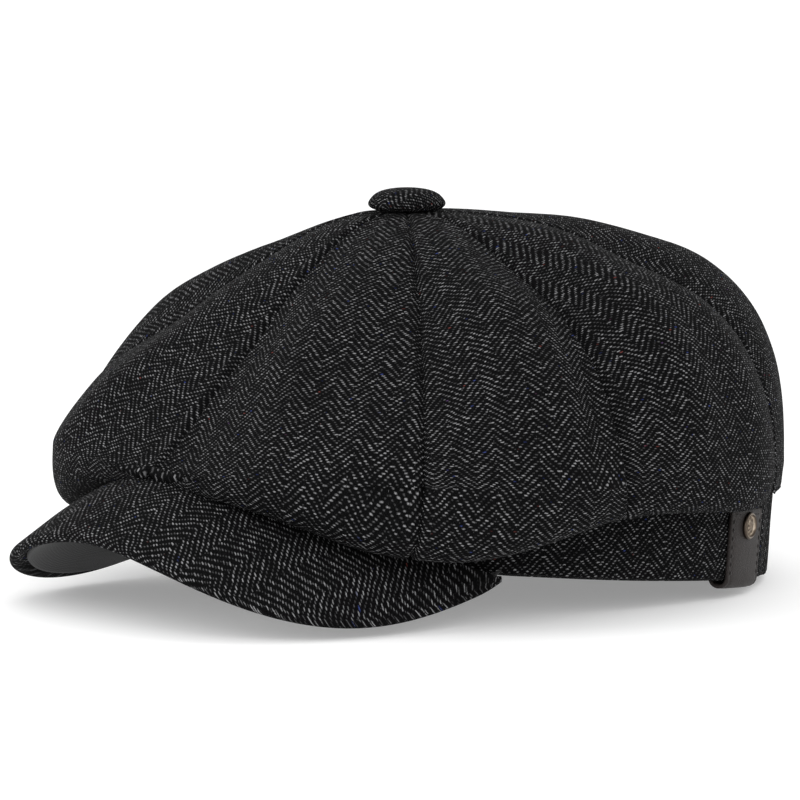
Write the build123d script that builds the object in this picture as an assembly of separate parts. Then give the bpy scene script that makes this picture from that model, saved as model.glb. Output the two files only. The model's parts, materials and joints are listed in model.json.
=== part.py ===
"""Eight-panel newsboy cap: crown panels, covered button, band, stiff peak, leather tabs, lining.

The cap is drawn square to its head opening: origin at the centre of the opening, +Y to the back,
-Y to the peak, +X to the wearer's left, +Z up. Directions round the cap are angles in degrees,
0 at the front, 90 at the left side and 180 at the back. The finished cap is then leaned back
until it stands the way it rests on a table, on the back of its rim and the sides of its peak.
"""
import os
from math import cos, degrees, pi, radians, sin, sqrt

from build123d import *
from numpy import interp

# Head opening and band
RIM_HALF_LENGTH = 101.0
RIM_HALF_WIDTH = 87.0
BAND_HEIGHT = 25.0
FRONT_ARCH = 25.0
FRONT_CUT = 12.0
REST_TILT = 5.6

# Cloth, leather and board thicknesses, and the air left between neighbouring pieces
TWEED = 1.5
LEATHER = 1.3
STIFFENER = 0.8
STIFFENER_INSET = 1.5
SWEATBAND = 0.9
LINING = 0.5
BOARD = 1.6
PEAK_CLOTH = 1.2
ELASTIC = 1.0
AIR = 0.25
SURFACE_FIT = 0.0001
STRIP_STEP = 6.0

# Crown, measured level, above the centre of the leaning head opening
CROWN_HALF_WIDTH = 110.0
CROWN_CENTRE_Y = -28.0
CROWN_FRONT_REACH = 97.0
CROWN_REAR_REACH = 130.0
CROWN_TOP = 107.2
TOP_Y = -23.0
WIDEST_HEIGHT = 32.5
WIDEST_RISE_TO_FRONT = 3.5
ROUNDNESS = 2.05
ROUNDNESS_TO_REAR = 0.9
FOOT_TURN = 12.0
SEAM_GAP = 1.8
PANEL_PUFF = 2.5
TOP_HOLE = 0.022
DOME_ROWS = 9
SEAM_ANGLES = (-180, -133, -90, -51, 0, 51, 90, 133, 180)
PANEL_NAMES = ("rear_right", "side_rear_right", "side_front_right", "front_right",
               "front_left", "side_front_left", "side_rear_left", "rear_left")

# Lining dome
LINING_INSET = 6.8
LINING_TOP_GAP = 6.0
LINING_SEAMS = (-180, -90, 0, 90, 180)
LINING_NAMES = ("lining_rear_right", "lining_front_right", "lining_front_left", "lining_rear_left")

# Peak
PEAK_END_ANGLE = 62.0
PEAK_HALF_WIDTH = 77.3
PEAK_REACH = 101.8
PEAK_SQUARENESS = 2.9
PEAK_BEND_RADIUS = 88.0
PEAK_PITCH = 0.45
PEAK_CROWNING = 3.5
PEAK_END_ROOM = 84.0
PEAK_SEAM_GAP = 3.2
BOARD_INSET = 0.04

# Leather tabs and rivets
TAB_ANGLE = 116.0
TAB_HALF_ANGLE = 7.0
TAB_WIDTH = 23.0
TAB_HEIGHT = 22.0
TAB_TURN_UP = 9.0
RIVET_HEIGHT = 16.5
RIVET_RADIUS = 4.3
RIVET_DOME = 1.7
RIVET_EDGE = 1.0
POST_RADIUS = 1.5
BURR = 0.7
BURR_RADIUS = 3.4

# Rear elastic section
ELASTIC_ANGLE = 124.5
ELASTIC_HEIGHT = 17.0

# Covered button
BUTTON_RADIUS = 11.8
BUTTON_HEIGHT = 7.0
BUTTON_WAIST = 0.42
BUTTON_CLOTH = 1.1
BACK_RADIUS = 7.5
SHELL_METAL = 0.6
SHANK_RADIUS = 1.6
WASHER_RADIUS = 7.0
WASHER_DROP = 2.4


def sine(angle):
    return sin(radians(angle))


def cosine(angle):
    return cos(radians(angle))


def spread(first, last, steps):
    """Evenly spaced values from first to last, both included."""
    return [first + (last - first) * i / steps for i in range(steps + 1)]


# The rim, the band and everything that follows them

def rim_arch(angle):
    """How far the rim rises: all of FRONT_ARCH at the centre front, none past the peak's ends."""
    if abs(angle) >= PEAK_END_ANGLE:
        return 0.0
    return FRONT_ARCH * cosine(90 * angle / PEAK_END_ANGLE) ** 2


def band_top(angle):
    """Height of the band's top edge above the rim. The band is FRONT_CUT shallower over the peak."""
    turned = (angle + 180) % 360 - 180
    return BAND_HEIGHT - FRONT_CUT * rim_arch(turned) / FRONT_ARCH


def rim_point(angle, inset, height):
    """A point on the band's wall, inset from its outside and height above the rim."""
    x = (RIM_HALF_WIDTH - inset) * sine(angle)
    y = -(RIM_HALF_LENGTH - inset) * cosine(angle)
    return Vector(x, y, height + rim_arch(angle))


def outward(angle):
    """Level direction square to the band's wall."""
    return Vector(sine(angle) / RIM_HALF_WIDTH, -cosine(angle) / RIM_HALF_LENGTH, 0).normalized()


def grid_normals(rows, towards):
    """Unit normals at every point of a grid, on the side of the sheet that faces towards a direction."""
    last_row, last_column = len(rows) - 1, len(rows[0]) - 1
    normals = []
    for i in range(last_row + 1):
        line = []
        for j in range(last_column + 1):
            down = rows[min(i + 1, last_row)][j] - rows[max(i - 1, 0)][j]
            across = rows[i][min(j + 1, last_column)] - rows[i][max(j - 1, 0)]
            line.append(down.cross(across).normalized())
        normals.append(line)
    sign = 1 if normals[last_row // 2][last_column // 2].dot(towards) > 0 else -1
    return [[normal * sign for normal in line] for line in normals]


def shifted(rows, distance, towards):
    """The same grid moved square to its own surface."""
    normals = grid_normals(rows, towards)
    return [[point + normal * distance for point, normal in zip(*pair)] for pair in zip(rows, normals)]


def smooth_face(rows):
    """A smooth face through a grid of points."""
    degree = min(3, len(rows) - 1)
    return Face.make_surface_from_array_of_points(rows, tol=SURFACE_FIT, min_deg=degree, max_deg=3)


def ruled_faces(edges, other_edges):
    """Straight-line faces between matching edges of two faces."""
    return [Face.make_surface_from_curves(*pair) for pair in zip(edges, other_edges)]


def sheet(rows, thickness, towards):
    """A closed solid of even thickness: a smooth face through a grid, its offset, and four ruled sides."""
    faces = [smooth_face(rows), smooth_face(shifted(rows, thickness, towards))]
    return Solid(Shell(faces + ruled_faces(faces[0].edges(), faces[1].edges())))


def fold_corner(above, corner, below, thickness):
    """The inside of a fold: as far as the cloth's thickness from both of its straight sides."""
    up, back = (above - corner).normalized(), (below - corner).normalized()
    return corner + (up + back) * (thickness / up.cross(back).length)


def fold_foot(above, corner, below, thickness):
    """The inside of the cloth below a fold, at its far edge."""
    up, back = (above - corner).normalized(), (below - corner).normalized()
    return below + (up - back * up.dot(back)).normalized() * thickness


def split_edges(face, point):
    """The edge of a face that runs past a point, and its other edges."""
    edges = sorted(face.edges(), key=lambda edge: edge.distance_to(point))
    return edges[0], [edge for edge in face.edges() if edge != edges[0]]


def folded_sheet(rows, foot, thickness, towards):
    """A sheet through a grid that folds at the grid's last row and runs straight to a row of foot points."""
    fold = list(zip(rows[-2], rows[-1], foot))
    inside = shifted(rows, thickness, towards)
    inside[-1] = [fold_corner(*points, thickness) for points in fold]
    inner_foot = [fold_foot(*points, thickness) for points in fold]
    walls, loose = [], []
    for grid, ends in ((rows, foot), (inside, inner_foot)):
        upper = smooth_face(grid)
        fold_edge, others = split_edges(upper, grid[-1][len(foot) // 2])
        if (fold_edge @ 0 - ends[0]).length > (fold_edge @ 0 - ends[-1]).length:
            ends = ends[::-1]
        lower = Face.make_surface_from_curves(fold_edge, Edge.make_spline(ends))
        walls += [upper, lower]
        loose.append(others + split_edges(lower, grid[-1][len(foot) // 2])[1])
    return Solid(Shell(walls + ruled_faces(*loose)))


def wall_strip(first_angle, last_angle, inset, low, high, thickness):
    """A strip of the band's wall, thickened inwards, its heights being those where the band is full depth."""
    middle = (first_angle + last_angle) / 2
    steps = 2 * round((last_angle - first_angle) / 2 / STRIP_STEP)
    angles = spread(first_angle, last_angle, steps)
    rows = []
    for height in (low, high):
        rows.append([rim_point(a, inset, height * band_top(a) / BAND_HEIGHT) for a in angles])
    return sheet(rows, thickness, outward(middle) * -1)


# The crown

def crown_outline(angle):
    """The crown's widest outline, seen from above."""
    reach = CROWN_FRONT_REACH if cosine(angle) > 0 else CROWN_REAR_REACH
    return CROWN_HALF_WIDTH * sine(angle), CROWN_CENTRE_Y - reach * cosine(angle)


def widest_height(angle):
    return WIDEST_HEIGHT + WIDEST_RISE_TO_FRONT * cosine(angle)


def level(point):
    """The crown stands level on its leaning opening: a point measured level, seen square to the opening."""
    return point.rotate(Axis.X, REST_TILT)


def puff(angle):
    """0 on a seam, 1 in the middle of a panel."""
    for first, last in zip(SEAM_ANGLES, SEAM_ANGLES[1:]):
        if first <= angle <= last:
            return sin(pi * (angle - first) / (last - first))
    return 0.0


def rounding(angle, along):
    """How far out and how far up the crown's profile is. It slopes at the front and is boxy at the back."""
    out = sine(90 * along)
    power = ROUNDNESS - ROUNDNESS_TO_REAR * cosine(angle) * sqrt(out)
    return out, max(1 - out ** power, 0.0) ** (1 / power)


def dome_point(angle, along):
    """The crown from the top (along 0) to its widest outline (along 1)."""
    out, up = rounding(angle, along)
    x, y = crown_outline(angle)
    low = widest_height(angle)
    swell = PANEL_PUFF * puff(angle) * sine(90 * along)
    aside = Vector(x, y - TOP_Y, 0).normalized() * swell * sine(90 * along)
    height = low + (CROWN_TOP - low) * up + swell * cosine(90 * along)
    return level(Vector(out * x, (1 - out) * TOP_Y + out * y, height) + aside)


def foot_point(angle):
    """Where the crown meets the band's top edge. Under the fold the cloth runs back a little askew."""
    foot = angle - FOOT_TURN * sine(angle)
    return rim_point(foot, -2 * AIR, band_top(foot) + 2 * AIR)


def even_places(angle):
    """How far down the dome its rows of points lie, evenly spaced along the profile."""
    tries = spread(TOP_HOLE, 1, 60)
    points = [dome_point(angle, along) for along in tries]
    run = [0.0]
    for before, after in zip(points, points[1:]):
        run.append(run[-1] + (after - before).length)
    return [float(place) for place in interp(spread(0, run[-1], DOME_ROWS), run, tries)]


def panel_angles(first_angle, last_angle, out):
    """Angles across a panel, out being how far down from the top it is. The seam gap keeps its width."""
    gap_half = degrees(SEAM_GAP / 2 / (CROWN_HALF_WIDTH * out))
    return spread(first_angle + gap_half, last_angle - gap_half, 6)


def crown_panel(first_angle, last_angle):
    """One crown panel, from the button hole down over its widest outline and back under to the band."""
    middle = (first_angle + last_angle) / 2
    rows = []
    for i, along in enumerate(even_places(middle)):
        angles = panel_angles(first_angle, last_angle, sine(90 * along))
        rows.append([dome_point(a, even_places(a)[i]) for a in angles])
    foot = [foot_point(a) for a in panel_angles(first_angle, last_angle, 1)]
    return folded_sheet(rows, foot, TWEED, Vector(-sine(middle), cosine(middle), -1))


def make_crown():
    seams = zip(PANEL_NAMES, SEAM_ANGLES, SEAM_ANGLES[1:])
    return {"crown_" + name: crown_panel(first, last) for name, first, last in seams}


def lining_point(angle, along):
    """The lining dome, from under the button down to the top of the sweatband."""
    foot = rim_point(angle, LINING_INSET, band_top(angle) + 4 * AIR)
    out, up = rounding(angle, along)
    top = level(Vector(0, TOP_Y, CROWN_TOP - LINING_TOP_GAP))
    return Vector(out * foot.X, (1 - out) * top.Y + out * foot.Y, foot.Z + (top.Z - foot.Z) * up)


def make_lining():
    gores = {}
    for name, first, last in zip(LINING_NAMES, LINING_SEAMS, LINING_SEAMS[1:]):
        angles = spread(first + 2 * AIR, last - 2 * AIR, 8)
        rows = [[lining_point(a, s) for a in angles] for s in spread(TOP_HOLE, 1, 5)]
        middle = (first + last) / 2
        gores[name] = sheet(rows, LINING, Vector(-sine(middle), cosine(middle), -1))
    return gores


# The peak

def peak_edge_point(angle):
    """The peak's outer edge. The peak is bent like part of a cylinder that leans down to the front."""
    end = rim_point(PEAK_END_ANGLE, 0, 0)
    grow = abs(sine(angle) / PEAK_HALF_WIDTH) ** PEAK_SQUARENESS
    grow += abs(cosine(angle) / PEAK_REACH) ** PEAK_SQUARENESS
    radius = grow ** (-1 / PEAK_SQUARENESS)
    x, y = radius * sine(angle), end.Y - radius * cosine(angle)
    bend = sqrt(PEAK_BEND_RADIUS ** 2 - x ** 2) - sqrt(PEAK_BEND_RADIUS ** 2 - PEAK_HALF_WIDTH ** 2)
    return Vector(x, y, bend + PEAK_PITCH * (y - end.Y))


def peak_point(angle, across):
    """The middle surface of the peak, from the rim (across 0) to the outer edge (across 1)."""
    rim_angle = angle * PEAK_END_ANGLE / 90
    start = rim_point(rim_angle, -PEAK_SEAM_GAP, 0)
    end = peak_edge_point(angle)
    lift = PEAK_CROWNING * 4 * across * (1 - across) * cosine(angle) ** 2
    return start + (end - start) * across + Vector(0, 0, lift)


def peak_rows(end_room, first, last):
    angles = spread(-end_room, end_room, 12)
    return [[peak_point(a, t) for a in angles] for t in spread(first, last, 3)]


def make_peak():
    """Top cover, board and under cover, one on the other."""
    up, down = Vector(0, 0, 1), Vector(0, 0, -1)
    board_face = BOARD / 2 + AIR
    covers = peak_rows(PEAK_END_ROOM, 0, 1)
    board = peak_rows(PEAK_END_ROOM - 2, BOARD_INSET, 1 - BOARD_INSET)
    return {
        "peak_top_cover": sheet(shifted(covers, board_face, up), PEAK_CLOTH, up),
        "peak_board": sheet(shifted(board, BOARD / 2, up), BOARD, down),
        "peak_under_cover": sheet(shifted(covers, board_face, down), PEAK_CLOTH, down),
    }


# Band, sweatband, elastic

def make_band():
    front_end = TAB_ANGLE + TAB_HALF_ANGLE - 1
    stiff_end = TAB_ANGLE - TAB_HALF_ANGLE - 1
    lining_side = TWEED + AIR
    sweat_side = lining_side + STIFFENER + AIR
    rear_first, rear_last = ELASTIC_ANGLE, 360 - ELASTIC_ANGLE
    elastic_low = (BAND_HEIGHT - ELASTIC_HEIGHT) / 2
    return {
        "band_front": wall_strip(-front_end, front_end, 0, 0, BAND_HEIGHT, TWEED),
        "band_stiffener": wall_strip(-stiff_end, stiff_end, lining_side, STIFFENER_INSET,
                                     BAND_HEIGHT - STIFFENER_INSET, STIFFENER),
        "sweatband_front": wall_strip(-front_end, front_end, sweat_side, 0, BAND_HEIGHT, SWEATBAND),
        "band_rear": wall_strip(rear_first, rear_last, 0, 0, BAND_HEIGHT, TWEED),
        "elastic_strip": wall_strip(rear_first + 1, rear_last - 1, lining_side, elastic_low,
                                    elastic_low + ELASTIC_HEIGHT, ELASTIC),
        "sweatband_rear": wall_strip(rear_first, rear_last, lining_side + ELASTIC + AIR, 0,
                                     BAND_HEIGHT, SWEATBAND),
    }


def band_depth():
    """From the outside of the band to the inside of the sweatband."""
    return TWEED + AIR + STIFFENER + AIR + SWEATBAND


# Leather tabs and rivets

def tab_section():
    """The folded leather strip seen from its end: outer leg, turn under the rim, inner leg."""
    inner = (band_depth() + 2 * AIR) / 2
    outer = inner + LEATHER
    with BuildSketch() as section:
        with BuildLine():
            Line((outer, TAB_HEIGHT), (outer, 0))
            ThreePointArc((outer, 0), (0, -outer), (-outer, 0))
            Line((-outer, 0), (-outer, TAB_TURN_UP))
            Line((-outer, TAB_TURN_UP), (-inner, TAB_TURN_UP))
            Line((-inner, TAB_TURN_UP), (-inner, 0))
            ThreePointArc((-inner, 0), (0, -inner), (inner, 0))
            Line((inner, 0), (inner, TAB_HEIGHT))
            Line((inner, TAB_HEIGHT), (outer, TAB_HEIGHT))
        make_face()
    return section.sketch


def band_radius(angle):
    """Radius of the band's curve at an angle."""
    speed = RIM_HALF_WIDTH ** 2 * cosine(angle) ** 2 + RIM_HALF_LENGTH ** 2 * sine(angle) ** 2
    return speed ** 1.5 / (RIM_HALF_WIDTH * RIM_HALF_LENGTH)


def make_tab(side):
    """A leather strip that follows the band's curve, with a hole for its rivet."""
    away = outward(side * TAB_ANGLE)
    middle = rim_point(side * TAB_ANGLE, 0, 0) - away * (band_depth() / 2)
    radius = band_radius(TAB_ANGLE) - band_depth() / 2
    turn = degrees(TAB_WIDTH / radius)
    axis = Axis(middle - away * radius, (0, 0, 1))
    plane = Plane(origin=middle, x_dir=away, z_dir=away.cross(Vector(0, 0, 1)))
    strip = revolve(plane * tab_section(), axis=axis, revolution_arc=turn)
    strip = strip.rotate(axis, -turn / 2)
    return strip - post_hole(side)


def rivet_frame(side, inset):
    """A plane on the band's wall whose z axis is the rivet's axis, pointing out of the band."""
    away = outward(side * TAB_ANGLE)
    point = rim_point(side * TAB_ANGLE, 0, RIVET_HEIGHT) - away * inset
    return Plane(origin=point, z_dir=away)


def post_hole(side):
    """The hole through the outer leather and the band, clear of the post."""
    depth = 2 * (TWEED + LEATHER)
    return rivet_frame(side, 0) * Cylinder(POST_RADIUS + AIR / 2, depth)


def make_rivet_cap(side):
    """A shallow dome with a raised edge, on a post that reaches through to the burr."""
    seat = AIR + LEATHER + AIR / 4
    post_end = -seat - TWEED - AIR - BURR
    valley = RIVET_RADIUS - RIVET_EDGE
    with BuildSketch(Plane.XZ) as profile:
        with BuildLine():
            Spline((0, RIVET_DOME), (valley / 2, RIVET_DOME * 0.9), (valley, RIVET_DOME / 2),
                   tangents=((1, 0), (1, -1)))
            Spline((valley, RIVET_DOME / 2), (RIVET_RADIUS - RIVET_EDGE / 2, RIVET_DOME * 0.7),
                   (RIVET_RADIUS, 0), tangents=((1, 1), (0, -1)))
            Polyline((RIVET_RADIUS, 0), (POST_RADIUS, 0), (POST_RADIUS, post_end), (0, post_end),
                     (0, RIVET_DOME))
        make_face()
    return rivet_frame(side, -seat) * revolve(profile.sketch, axis=Axis.Z)


def make_burr(side):
    """The ring that the post is closed over, between the band and the sweatband."""
    ring = Cylinder(BURR_RADIUS, BURR) - Cylinder(POST_RADIUS + AIR / 4, 2 * BURR)
    return rivet_frame(side, TWEED + AIR + BURR / 2) * ring


# The covered button

def button_profile(radius, height, low):
    """Half of a puffy disc seen from the side, between its axis and its rounded edge."""
    middle = low + height * BUTTON_WAIST
    top = low + height
    with BuildSketch(Plane.XZ) as profile:
        with BuildLine():
            Spline((0, top), (radius * 0.7, low + height * 0.86), (radius, middle),
                   tangents=((1, 0), (0, -1)))
            Spline((radius, middle), (radius * 0.85, low + height * 0.1), (radius * 0.5, low),
                   tangents=((0, -1), (-1, 0)))
            Line((radius * 0.5, low), (0, low))
            Line((0, low), (0, top))
        make_face()
    return profile.sketch


def turned(profile):
    """A ring or disc turned about the button's axis."""
    return revolve(profile, axis=Axis.Z)


def make_button():
    """Cloth cover over a metal shell, closed by a back plate, on a shank with a washer inside the crown."""
    inner_cloth = BUTTON_RADIUS - BUTTON_CLOTH
    outer_shell = inner_cloth - AIR
    inner_shell = outer_shell - SHELL_METAL
    cover = turned(button_profile(BUTTON_RADIUS, BUTTON_HEIGHT, 0))
    cover -= turned(button_profile(inner_cloth, BUTTON_HEIGHT - 2 * BUTTON_CLOTH, BUTTON_CLOTH))
    cover -= Cylinder(BACK_RADIUS + AIR, 4 * BUTTON_CLOTH)
    shell_height = BUTTON_HEIGHT - 2 * BUTTON_CLOTH - 2 * AIR
    shell_low = BUTTON_CLOTH + AIR
    shell = turned(button_profile(outer_shell, shell_height, shell_low))
    shell -= turned(button_profile(inner_shell, shell_height - 2 * SHELL_METAL, shell_low + SHELL_METAL))
    shell -= Cylinder(BACK_RADIUS + AIR, 2 * (shell_low + shell_height * BUTTON_WAIST))
    back = Pos(0, 0, BUTTON_CLOTH) * Cylinder(BACK_RADIUS, BUTTON_CLOTH)
    shank_length = TWEED + WASHER_DROP + 3 * AIR
    back += Pos(0, 0, -shank_length / 2 + BUTTON_CLOTH) * Cylinder(SHANK_RADIUS, shank_length + BUTTON_CLOTH)
    washer = Cylinder(WASHER_RADIUS, SHELL_METAL) - Cylinder(SHANK_RADIUS + AIR / 2, 2 * SHELL_METAL)
    washer = Pos(0, 0, -TWEED - WASHER_DROP) * washer
    seat = Rot(REST_TILT, 0, 0) * Pos(0, TOP_Y, CROWN_TOP + 2 * AIR)
    return {
        "button_cover": seat * cover,
        "button_shell": seat * shell,
        "button_back": seat * back,
        "button_washer": seat * washer,
    }


def make_tabs_and_rivets():
    left, right = 1, -1
    return {
        "leather_tab_left": make_tab(left),
        "leather_tab_right": make_tab(right),
        "rivet_caps": [make_rivet_cap(left), make_rivet_cap(right)],
        "rivet_burrs": [make_burr(left), make_burr(right)],
    }


def make_cap():
    """Every node's solids, by name, drawn square to the head opening."""
    pieces = make_crown() | make_lining() | make_band() | make_peak()
    pieces |= make_tabs_and_rivets() | make_button()
    pieces["band_front"] = pieces["band_front"] - post_hole(1) - post_hole(-1)
    return {name: made if isinstance(made, list) else [made] for name, made in pieces.items()}


def stand_on_table(pieces):
    """Lean the cap back to its resting pose and put the middle of its box on the origin, its bottom on z 0."""
    leaned = {name: [solid.rotate(Axis.X, -REST_TILT) for solid in made] for name, made in pieces.items()}
    boxes = [solid.bounding_box() for made in leaned.values() for solid in made]
    front = min(box.min.Y for box in boxes)
    back = max(box.max.Y for box in boxes)
    shift = Pos(0, -(front + back) / 2, -min(box.min.Z for box in boxes))
    return {name: [shift * solid for solid in made] for name, made in leaned.items()}


os.makedirs("parts", exist_ok=True)
for node, solids in stand_on_table(make_cap()).items():
    piece = solids[0] if len(solids) == 1 else Compound(solids)
    export_step(piece, "parts/" + node + ".step")
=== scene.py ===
import json
import math

import bpy
import numpy as np
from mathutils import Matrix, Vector


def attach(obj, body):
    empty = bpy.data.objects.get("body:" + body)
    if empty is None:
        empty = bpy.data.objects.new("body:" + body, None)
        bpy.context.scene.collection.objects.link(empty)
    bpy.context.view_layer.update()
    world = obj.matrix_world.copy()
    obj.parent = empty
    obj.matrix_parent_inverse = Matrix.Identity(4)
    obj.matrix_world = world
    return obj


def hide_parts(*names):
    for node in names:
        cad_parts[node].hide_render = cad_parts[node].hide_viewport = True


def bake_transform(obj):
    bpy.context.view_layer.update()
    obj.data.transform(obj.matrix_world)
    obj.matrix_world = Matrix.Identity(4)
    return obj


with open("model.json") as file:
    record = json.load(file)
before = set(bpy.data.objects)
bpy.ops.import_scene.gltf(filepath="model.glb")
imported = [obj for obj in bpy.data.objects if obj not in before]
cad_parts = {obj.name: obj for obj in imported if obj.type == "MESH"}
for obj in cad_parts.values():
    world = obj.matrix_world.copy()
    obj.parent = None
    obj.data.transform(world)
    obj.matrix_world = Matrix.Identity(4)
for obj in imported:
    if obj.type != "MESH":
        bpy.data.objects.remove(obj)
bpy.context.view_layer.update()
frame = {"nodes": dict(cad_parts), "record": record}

# Driving dimensions, in millimetres and degrees, square to the head opening as the CAD draws them.
# Angles run round the cap: 0 front, 90 left, 180 back.
MM = 0.001
RIM_LENGTH, RIM_WIDTH = 101.0, 87.0
BAND_HEIGHT = 25.0
FRONT_CUT = 12.0
FRONT_ARCH = 25.0
REST_TILT = 5.6
CROWN_WIDTH, CROWN_MIDDLE = 110.0, -28.0
CROWN_FRONT, CROWN_REAR = 97.0, 130.0
CROWN_TOP, TOP_Y = 107.2, -23.0
WIDEST, WIDEST_TO_FRONT = 32.5, 3.5
ROUND, ROUND_TO_REAR = 2.05, 0.99
FOOT_TURN = 12.0
SEAMS = (-180, -133, -90, -51, 0, 51, 90, 133, 180)
PANELS = ("rear_right", "side_rear_right", "side_front_right", "front_right",
          "front_left", "side_front_left", "side_rear_left", "rear_left")
PEAK_END = 62.0
PEAK_WIDTH, PEAK_REACH, PEAK_SQUARE = 75.4, 99.4, 2.9
PEAK_BEND, PEAK_PITCH, PEAK_CROWNING = 88.0, 0.45, 3.5
PEAK_EDGE_LIFT = 4.4
TAB_ANGLE, TAB_WIDTH, TAB_HEIGHT, TAB_TURN_UP = 116.0, 22.5, 21.5, 9.0
RIVET_HEIGHT, RIVET_RADIUS = 16.5, 4.3
BUTTON_RADIUS, BUTTON_HEIGHT = 11.8, 7.0
TWEED, LEATHER, SWEATBAND = 1.4, 1.3, 0.9

# The camera, from the head opening's centre
VIEW_AZIMUTH, VIEW_ELEVATION = 50.0, 6.0
VIEW_DISTANCE, VIEW_LENS = 1.636, 239.5
LOOK_AT = np.array([0.0, -30.4, 46.3])

random = np.random.default_rng(8)


# The cap's own frame, taken from the head opening that the record states

opening = next(m for m in frame["record"]["mounts"] if m["name"] == "head_opening")
CAP_ORIGIN = np.array(opening["pos_m"], float)
CAP_UP = -np.array(opening["axis"], float)
CAP_AXES = np.array([[1, 0, 0], np.cross(CAP_UP, [1, 0, 0]), CAP_UP])


def to_world(points):
    """Points square to the head opening, in millimetres, to the CAD frame in metres."""
    return CAP_ORIGIN + np.asarray(points, float) * MM @ CAP_AXES


def sine(angle):
    return np.sin(np.radians(angle))


def cosine(angle):
    return np.cos(np.radians(angle))


def stack(x, y, z):
    return np.stack(np.broadcast_arrays(x, y, z), -1).astype(float)


def unit(vectors):
    return vectors / np.maximum(np.linalg.norm(vectors, axis=-1, keepdims=True), 1e-9)


def bell(distance, width):
    return np.exp(-(distance / width) ** 2)


def ease(value, low, high):
    """0 below low, 1 above high, smooth between."""
    t = np.clip((value - low) / (high - low), 0, 1)
    return t * t * (3 - 2 * t)


# Meshes

def grid_faces(rows, columns, wrap=False):
    """Quads of a grid whose points are numbered row by row."""
    last = columns if wrap else columns - 1
    i, j = np.meshgrid(np.arange(rows - 1), np.arange(last), indexing="ij")
    k = (j + 1) % columns
    quads = np.stack([i * columns + j, i * columns + k, (i + 1) * columns + k, (i + 1) * columns + j], -1)
    return quads.reshape(-1, 4)


def grid_normals(grid, wrap=False):
    down = np.gradient(grid, axis=0)
    if wrap:
        across = np.roll(grid, -1, 1) - np.roll(grid, 1, 1)
    else:
        across = np.gradient(grid, axis=1)
    return unit(np.cross(down, across))


def make_object(name, points, faces, material, weave=None):
    """A smooth-shaded mesh object. weave holds cloth coordinates in millimetres for the material."""
    mesh = bpy.data.meshes.new(name)
    mesh.from_pydata(to_world(points).tolist(), [], [list(face) for face in faces])
    mesh.polygons.foreach_set("use_smooth", [True] * len(mesh.polygons))
    if weave is not None:
        layer = mesh.attributes.new("weave", "FLOAT_VECTOR", "POINT")
        flat = np.zeros((len(points), 3), np.float32)
        flat[:, :2] = weave
        layer.data.foreach_set("vector", flat.ravel())
    mesh.materials.append(material)
    mesh.validate()
    obj = bpy.data.objects.new(name, mesh)
    bpy.context.scene.collection.objects.link(obj)
    return obj


def cloth_coordinates(grid):
    """Distances across from the middle column and down the middle column, as the flat cloth was cut."""
    middle = grid.shape[1] // 2
    down = np.linalg.norm(np.diff(grid[:, middle], axis=0), axis=1)
    down = np.concatenate([[0], np.cumsum(down)])
    across = np.linalg.norm(np.diff(grid, axis=1), axis=2)
    across = np.concatenate([np.zeros((len(grid), 1)), np.cumsum(across, 1)], 1)
    across -= across[:, middle:middle + 1]
    return np.stack([across, np.broadcast_to(down[:, None], across.shape)], -1)


def shell_object(name, grid, thickness, material, weave=None, outside=None):
    """A closed shell: the grid as its outer skin, thickened to the other side, with its border closed.

    thickness is one number, or one for each row where the cloth thins towards a tight turn.
    """
    normals = grid_normals(grid)
    if outside is None:
        outside = grid.reshape(-1, 3).mean(0) * [1, 1, 0.3] - [0, 0, 5]
    flip = 1 if np.mean(np.sum(normals * unit(grid - (grid.mean((0, 1)) - outside)), -1)) > 0 else -1
    inner = grid - normals * flip * thickness
    rows, columns = grid.shape[:2]
    count = rows * columns
    skin = grid_faces(rows, columns)
    if flip < 0:
        skin = skin[:, ::-1]
    border = np.concatenate([
        np.arange(columns), columns * np.arange(1, rows) + columns - 1,
        count - 2 - np.arange(columns - 1), columns * np.arange(rows - 2, 0, -1)])
    after = np.roll(border, -1)
    strip = np.stack([border, border + count, after + count, after], -1)
    if flip < 0:
        strip = strip[:, ::-1]
    faces = np.concatenate([skin, skin[:, ::-1] + count, strip])
    points = np.concatenate([grid.reshape(-1, 3), inner.reshape(-1, 3)])
    if weave is None:
        weave = cloth_coordinates(grid)
    return make_object(name, points, faces, material, np.tile(weave.reshape(-1, 2), (2, 1)))


def tube_object(name, loops, material, weave=None):
    """A closed bar through matching closed loops of points, capped at both ends."""
    rows, columns = loops.shape[:2]
    faces = [list(f) for f in grid_faces(rows, columns, wrap=True)]
    faces.append(list(range(columns))[::-1])
    faces.append(list(range((rows - 1) * columns, rows * columns)))
    flat = None if weave is None else weave.reshape(-1, 2)
    return make_object(name, loops.reshape(-1, 3), faces, material, flat)


# Materials

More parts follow.
